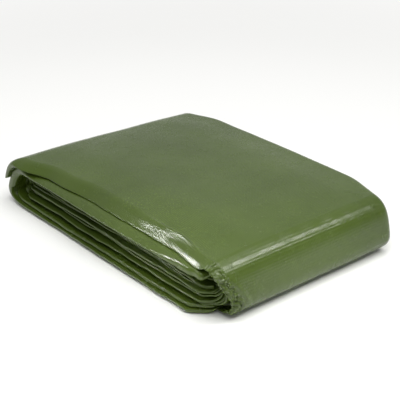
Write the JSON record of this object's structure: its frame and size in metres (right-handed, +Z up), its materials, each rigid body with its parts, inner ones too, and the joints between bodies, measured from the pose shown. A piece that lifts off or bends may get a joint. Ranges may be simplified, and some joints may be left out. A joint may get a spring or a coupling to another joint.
{
  "type": "fly sheet",
  "caption": "Woven polyethylene fly sheet folded into a flat rectangular pack, with eyelets on its hems and a top flap that folds open.",
  "frame": {"origin": "on the resting surface, under the centre of the folded pack", "axes": "+X along the pack's long side towards the smooth outer fold that carries the flap, +Y across the pack from its layered front side to the back, +Z up"},
  "size_m": [0.348, 0.254, 0.0573],
  "materials": {
    "outer_cloth": "woven polyethylene, laminated, satin",
    "inner_cloth": "woven polyethylene, laminated, satin",
    "hem_cloth": "woven polyethylene, welded double",
    "patch_plastic": "moulded, matt black",
    "eyelet_aluminium": "pressed, satin"
  },
  "bodies": {
    "pack": {"bottom_panel": "outer_cloth", "fifth_panel_lower_strip": "inner_cloth", "fifth_panel_upper_strip": "inner_cloth", "fourth_panel_lower_strip": "inner_cloth", "fourth_panel_upper_strip": "inner_cloth", "left_inner_turn": "inner_cloth", "left_outer_turn": "outer_cloth", "long_hem_fifth_panel_far": "hem_cloth", "long_hem_fifth_panel_far_1_eyelet": "eyelet_aluminium", "long_hem_fifth_panel_far_1_washer": "eyelet_aluminium", "long_hem_fifth_panel_far_2_eyelet": "eyelet_aluminium", "long_hem_fifth_panel_far_2_washer": "eyelet_aluminium", "long_hem_fifth_panel_near": "hem_cloth", "long_hem_fifth_panel_near_1_eyelet": "eyelet_aluminium", "long_hem_fifth_panel_near_1_washer": "eyelet_aluminium", "long_hem_fifth_panel_near_2_eyelet": "eyelet_aluminium", "long_hem_fifth_panel_near_2_washer": "eyelet_aluminium", "long_hem_fourth_panel_far": "hem_cloth", "long_hem_fourth_panel_far_1_eyelet": "eyelet_aluminium", "long_hem_fourth_panel_far_1_washer": "eyelet_aluminium", "long_hem_fourth_panel_near": "hem_cloth", "long_hem_fourth_panel_near_1_eyelet": "eyelet_aluminium", "long_hem_fourth_panel_near_1_washer": "eyelet_aluminium", "right_core_fold": "inner_cloth", "right_inner_fold": "inner_cloth", "right_outer_fold": "outer_cloth", "second_panel": "outer_cloth", "third_panel": "inner_cloth"},
    "flap": {"corner_patch_front_far": "patch_plastic", "corner_patch_front_near": "patch_plastic", "corner_patch_rear_far": "patch_plastic", "corner_patch_rear_near": "patch_plastic", "flap_lower_strip": "inner_cloth", "flap_upper_strip": "outer_cloth", "short_hem_front": "hem_cloth", "short_hem_front_1_eyelet": "eyelet_aluminium", "short_hem_front_1_washer": "eyelet_aluminium", "short_hem_front_2_eyelet": "eyelet_aluminium", "short_hem_front_2_washer": "eyelet_aluminium", "short_hem_front_3_eyelet": "eyelet_aluminium", "short_hem_front_3_washer": "eyelet_aluminium", "short_hem_front_4_eyelet": "eyelet_aluminium", "short_hem_front_4_washer": "eyelet_aluminium", "short_hem_rear": "hem_cloth", "short_hem_rear_1_eyelet": "eyelet_aluminium", "short_hem_rear_1_washer": "eyelet_aluminium", "short_hem_rear_2_eyelet": "eyelet_aluminium", "short_hem_rear_2_washer": "eyelet_aluminium", "short_hem_rear_3_eyelet": "eyelet_aluminium", "short_hem_rear_3_washer": "eyelet_aluminium", "short_hem_rear_4_eyelet": "eyelet_aluminium", "short_hem_rear_4_washer": "eyelet_aluminium"}
  },
  "joints": [
    {"name": "flap_fold", "type": "hinge", "parent": "pack", "child": "flap", "pos_m": [0.174, 0, 0.02865], "axis": [0, 1, 0], "range_deg": [0, 180], "deforming": ["right_outer_fold"]}
  ]
}
